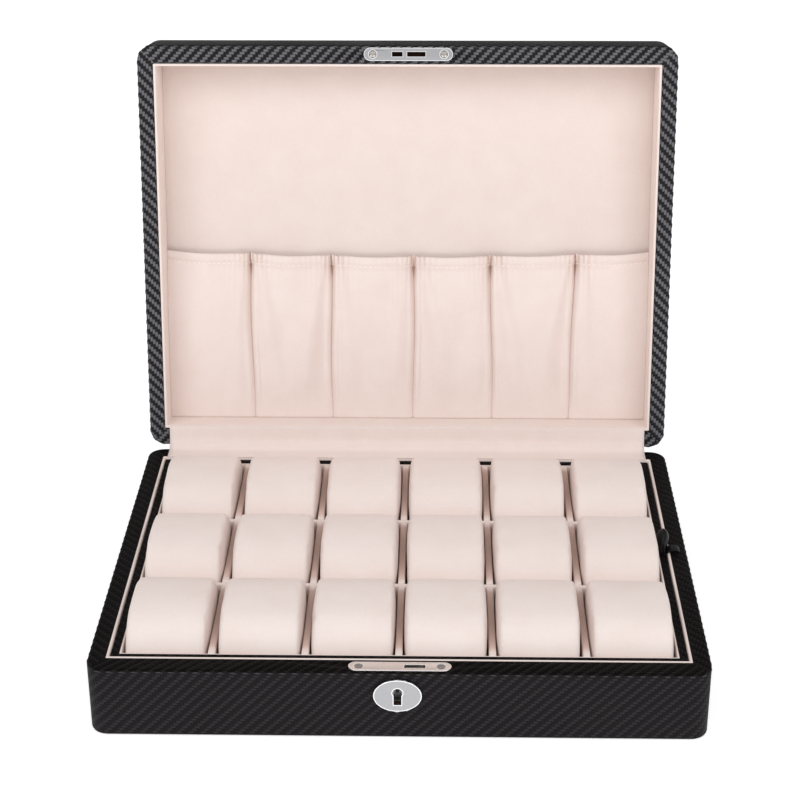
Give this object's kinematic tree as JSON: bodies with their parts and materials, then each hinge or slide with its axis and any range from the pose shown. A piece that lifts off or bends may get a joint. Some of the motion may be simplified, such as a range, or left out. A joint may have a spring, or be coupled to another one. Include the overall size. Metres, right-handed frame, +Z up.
{
  "type": "watch box",
  "caption": "Flat rectangular case with a hinged, lined lid holding gathered pockets, a keyed lock, and a lift-out tray divided into cells that each hold a removable watch pillow.",
  "frame": {"origin": "centre of the underside, where the case rests", "axes": "+Z up, the front with the lock faces -Y, +X to the right seen from the front; the lid rests open, leaning back over +Y"},
  "size_m": [0.34, 0.3502, 0.3026],
  "materials": {
    "case_leather": "black coated leather embossed with a fine diagonal twill, satin",
    "tab_leather": "soft smooth black leather ribbon",
    "lining_velvet": "short-pile cream velvet",
    "pillow_velvet": "short-pile cream velvet over foam",
    "underside_felt": "black felt",
    "elastic_band": "woven elastic inside the hem",
    "chrome_fittings": "satin chrome on stamped steel",
    "steel_fittings": "plain zinc-plated steel"
  },
  "bodies": {
    "base": {"base_shell": "case_leather", "base_bottom_cover": "underside_felt", "base_lining": "lining_velvet", "base_floor_lining": "lining_velvet", "lock_plate": "chrome_fittings", "lock_plate_screw_left": "chrome_fittings", "lock_plate_screw_right": "chrome_fittings", "escutcheon": "chrome_fittings", "lock_case": "steel_fittings", "key_post": "steel_fittings", "hinge_base_leaf_left": "steel_fittings", "hinge_base_leaf_right": "steel_fittings", "hinge_pin_left": "steel_fittings", "hinge_pin_right": "steel_fittings", "hinge_lining_base": "lining_velvet"},
    "lid": {"lid_shell": "case_leather", "lid_lining": "lining_velvet", "lid_panel": "lining_velvet", "pocket_sheet": "lining_velvet", "pocket_elastic": "elastic_band", "strike_plate": "chrome_fittings", "strike_plate_screw_left": "chrome_fittings", "strike_plate_screw_right": "chrome_fittings", "hinge_lid_leaf_left": "steel_fittings", "hinge_lid_leaf_right": "steel_fittings", "hinge_lining_lid": "lining_velvet"},
    "tray": {"tray_frame": "case_leather", "tray_floor": "lining_velvet", "tray_wall_lining": "lining_velvet", "column_divider_1": "lining_velvet", "column_divider_2": "lining_velvet", "column_divider_3": "lining_velvet", "column_divider_4": "lining_velvet", "column_divider_5": "lining_velvet", "row_divider_1": "lining_velvet", "row_divider_2": "lining_velvet", "pull_tab": "tab_leather"},
    "lock_hook": {"lock_hook": "steel_fittings"},
    "pillow_1_1": {"pillow_1_1": "pillow_velvet"},
    "pillow_1_2": {"pillow_1_2": "pillow_velvet"},
    "pillow_1_3": {"pillow_1_3": "pillow_velvet"},
    "pillow_1_4": {"pillow_1_4": "pillow_velvet"},
    "pillow_1_5": {"pillow_1_5": "pillow_velvet"},
    "pillow_1_6": {"pillow_1_6": "pillow_velvet"},
    "pillow_2_1": {"pillow_2_1": "pillow_velvet"},
    "pillow_2_2": {"pillow_2_2": "pillow_velvet"},
    "pillow_2_3": {"pillow_2_3": "pillow_velvet"},
    "pillow_2_4": {"pillow_2_4": "pillow_velvet"},
    "pillow_2_5": {"pillow_2_5": "pillow_velvet"},
    "pillow_2_6": {"pillow_2_6": "pillow_velvet"},
    "pillow_3_1": {"pillow_3_1": "pillow_velvet"},
    "pillow_3_2": {"pillow_3_2": "pillow_velvet"},
    "pillow_3_3": {"pillow_3_3": "pillow_velvet"},
    "pillow_3_4": {"pillow_3_4": "pillow_velvet"},
    "pillow_3_5": {"pillow_3_5": "pillow_velvet"},
    "pillow_3_6": {"pillow_3_6": "pillow_velvet"}
  },
  "joints": [
    {"name": "lid_hinge", "type": "hinge", "parent": "base", "child": "lid", "pos_m": [0, 0.1324, 0.0435], "axis": [-1, 0, 0], "range_deg": [-100, 0]},
    {"name": "tray_lift", "type": "slide", "parent": "base", "child": "tray", "axis": [0, 0, 1], "range_m": [0, 0.06]},
    {"name": "lock_turn", "type": "hinge", "parent": "base", "child": "lock_hook", "pos_m": [0.0015, -0.1258, 0.0365], "axis": [0, -1, 0], "range_deg": [0, 90]},
    {"name": "pillow_1_1_lift", "type": "slide", "parent": "tray", "child": "pillow_1_1", "axis": [0, 0, 1], "range_m": [0, 0.055]},
    {"name": "pillow_1_2_lift", "type": "slide", "parent": "tray", "child": "pillow_1_2", "axis": [0, 0, 1], "range_m": [0, 0.055]},
    {"name": "pillow_1_3_lift", "type": "slide", "parent": "tray", "child": "pillow_1_3", "axis": [0, 0, 1], "range_m": [0, 0.055]},
    {"name": "pillow_1_4_lift", "type": "slide", "parent": "tray", "child": "pillow_1_4", "axis": [0, 0, 1], "range_m": [0, 0.055]},
    {"name": "pillow_1_5_lift", "type": "slide", "parent": "tray", "child": "pillow_1_5", "axis": [0, 0, 1], "range_m": [0, 0.055]},
    {"name": "pillow_1_6_lift", "type": "slide", "parent": "tray", "child": "pillow_1_6", "axis": [0, 0, 1], "range_m": [0, 0.055]},
    {"name": "pillow_2_1_lift", "type": "slide", "parent": "tray", "child": "pillow_2_1", "axis": [0, 0, 1], "range_m": [0, 0.055]},
    {"name": "pillow_2_2_lift", "type": "slide", "parent": "tray", "child": "pillow_2_2", "axis": [0, 0, 1], "range_m": [0, 0.055]},
    {"name": "pillow_2_3_lift", "type": "slide", "parent": "tray", "child": "pillow_2_3", "axis": [0, 0, 1], "range_m": [0, 0.055]},
    {"name": "pillow_2_4_lift", "type": "slide", "parent": "tray", "child": "pillow_2_4", "axis": [0, 0, 1], "range_m": [0, 0.055]},
    {"name": "pillow_2_5_lift", "type": "slide", "parent": "tray", "child": "pillow_2_5", "axis": [0, 0, 1], "range_m": [0, 0.055]},
    {"name": "pillow_2_6_lift", "type": "slide", "parent": "tray", "child": "pillow_2_6", "axis": [0, 0, 1], "range_m": [0, 0.055]},
    {"name": "pillow_3_1_lift", "type": "slide", "parent": "tray", "child": "pillow_3_1", "axis": [0, 0, 1], "range_m": [0, 0.055]},
    {"name": "pillow_3_2_lift", "type": "slide", "parent": "tray", "child": "pillow_3_2", "axis": [0, 0, 1], "range_m": [0, 0.055]},
    {"name": "pillow_3_3_lift", "type": "slide", "parent": "tray", "child": "pillow_3_3", "axis": [0, 0, 1], "range_m": [0, 0.055]},
    {"name": "pillow_3_4_lift", "type": "slide", "parent": "tray", "child": "pillow_3_4", "axis": [0, 0, 1], "range_m": [0, 0.055]},
    {"name": "pillow_3_5_lift", "type": "slide", "parent": "tray", "child": "pillow_3_5", "axis": [0, 0, 1], "range_m": [0, 0.055]},
    {"name": "pillow_3_6_lift", "type": "slide", "parent": "tray", "child": "pillow_3_6", "axis": [0, 0, 1], "range_m": [0, 0.055]}
  ]
}
